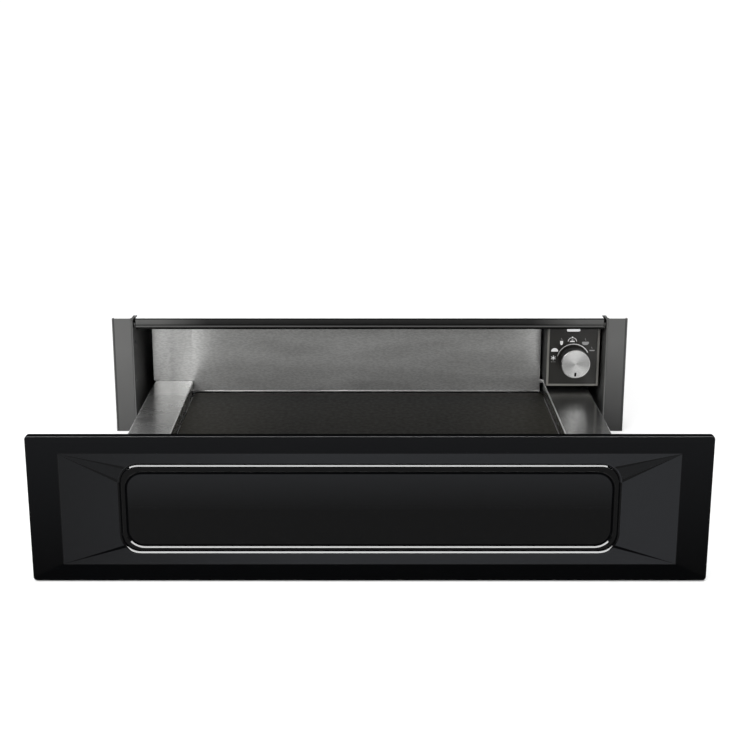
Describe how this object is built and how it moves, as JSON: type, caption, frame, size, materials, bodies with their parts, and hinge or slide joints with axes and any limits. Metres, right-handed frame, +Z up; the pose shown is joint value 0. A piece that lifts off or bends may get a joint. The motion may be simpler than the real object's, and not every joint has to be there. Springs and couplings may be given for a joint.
{
  "type": "built-in warming drawer",
  "caption": "Push-open warming drawer for a 60 cm housing, shown open: embossed black front, steel tray on ball runners, heated by a rear fan, rotary thermostat.",
  "frame": {"origin": "centre of the cabinet's underside", "axes": "+Z up, the drawer opens towards -Y, +X to the right seen from the front"},
  "size_m": [0.597, 0.928, 0.1373],
  "materials": {
    "enamel": "gloss black enamel",
    "dark_paint": "satin dark grey",
    "brushed": "fine horizontal brushing",
    "zinc": "zinc coated sheet, satin",
    "runner_steel": "bright zinc",
    "mat": "smooth matte",
    "seal": "matte",
    "wool": "pressed mineral wool",
    "black_plastic": "fine satin",
    "bezel": "satin grey",
    "fascia": "satin black print film",
    "lens": "milky white",
    "knob_metal": "spun",
    "pointer": "black inlay",
    "white_plastic": "natural nylon",
    "ceramic": "unglazed",
    "heater_steel": "dull annealed steel",
    "motor_steel": "lacquered laminations",
    "aluminium": "pressed, dull"
  },
  "bodies": {
    "cabinet": {"base_pan": "zinc", "left_side_panel": "dark_paint", "right_side_panel": "dark_paint", "rear_panel": "zinc", "top_cover": "zinc", "left_front_flange": "dark_paint", "right_front_flange": "dark_paint", "top_front_bar": "dark_paint", "left_runner_bracket": "zinc", "right_runner_bracket": "zinc", "left_runner_outer": "runner_steel", "right_runner_outer": "runner_steel", "air_baffle": "zinc", "motor_plate": "zinc", "fan_motor": "motor_steel", "heating_element": "heater_steel", "thermal_cutout": "ceramic", "air_sensor": "heater_steel", "terminal_block": "white_plastic", "terminal_cover": "black_plastic", "cable_inlet": "black_plastic", "control_housing": "dark_paint", "control_fascia": "fascia", "control_bezel": "bezel", "indicator_lens": "lens", "indicator_lamp": "white_plastic", "selector_switch": "white_plastic", "latch_body": "black_plastic", "cabinet_screws": "runner_steel"},
    "drawer": {"front_panel": "enamel", "front_backing": "zinc", "front_insulation": "wool", "front_gasket": "seal", "tray_bottom": "zinc", "left_ledge": "brushed", "right_ledge": "brushed", "floor_mat": "mat", "back_wall": "brushed", "left_front_bracket": "zinc", "right_front_bracket": "zinc", "front_screws": "runner_steel", "left_runner_inner": "runner_steel", "right_runner_inner": "runner_steel", "latch_striker": "runner_steel"},
    "left_middle": {"left_runner_middle": "runner_steel"},
    "right_middle": {"right_runner_middle": "runner_steel"},
    "left_outer_balls": {"left_outer_ball_cage": "white_plastic"},
    "left_inner_balls": {"left_inner_ball_cage": "white_plastic"},
    "right_outer_balls": {"right_outer_ball_cage": "white_plastic"},
    "right_inner_balls": {"right_inner_ball_cage": "white_plastic"},
    "knob": {"knob_skirt": "black_plastic", "knob_cap": "knob_metal", "knob_pointer": "pointer", "selector_spindle": "runner_steel"},
    "fan": {"fan_impeller": "aluminium", "fan_shaft": "runner_steel"},
    "plunger": {"latch_plunger": "white_plastic"}
  },
  "joints": [
    {"name": "drawer_slide", "type": "slide", "parent": "cabinet", "child": "drawer", "axis": [0, -1, 0], "range_m": [-0.3632, 0]},
    {"name": "left_middle_slide", "type": "slide", "parent": "cabinet", "child": "left_middle", "axis": [0, -1, 0], "range_m": [-0.1816, 0]},
    {"name": "left_outer_balls_slide", "type": "slide", "parent": "cabinet", "child": "left_outer_balls", "axis": [0, -1, 0], "range_m": [-0.0908, 0]},
    {"name": "left_inner_balls_slide", "type": "slide", "parent": "cabinet", "child": "left_inner_balls", "axis": [0, -1, 0], "range_m": [-0.2724, 0]},
    {"name": "right_middle_slide", "type": "slide", "parent": "cabinet", "child": "right_middle", "axis": [0, -1, 0], "range_m": [-0.1816, 0]},
    {"name": "right_outer_balls_slide", "type": "slide", "parent": "cabinet", "child": "right_outer_balls", "axis": [0, -1, 0], "range_m": [-0.0908, 0]},
    {"name": "right_inner_balls_slide", "type": "slide", "parent": "cabinet", "child": "right_inner_balls", "axis": [0, -1, 0], "range_m": [-0.2724, 0]},
    {"name": "knob_turn", "type": "hinge", "parent": "cabinet", "child": "knob", "pos_m": [0.2404, -0.27, 0.082], "axis": [0, 1, 0], "range_deg": [0, 244]},
    {"name": "fan_spin", "type": "hinge", "parent": "cabinet", "child": "fan", "pos_m": [0, 0.18, 0.068], "axis": [0, 1, 0], "continuous": true},
    {"name": "plunger_push", "type": "slide", "parent": "cabinet", "child": "plunger", "axis": [0, 1, 0], "range_m": [0, 0.004], "stiffness_N_per_m": 600}
  ],
  "couplings": [
    {"joint": "left_middle_slide", "follows": "drawer_slide", "ratio": 0.5},
    {"joint": "left_outer_balls_slide", "follows": "drawer_slide", "ratio": 0.25},
    {"joint": "left_inner_balls_slide", "follows": "drawer_slide", "ratio": 0.75},
    {"joint": "right_middle_slide", "follows": "drawer_slide", "ratio": 0.5},
    {"joint": "right_outer_balls_slide", "follows": "drawer_slide", "ratio": 0.25},
    {"joint": "right_inner_balls_slide", "follows": "drawer_slide", "ratio": 0.75}
  ]
}
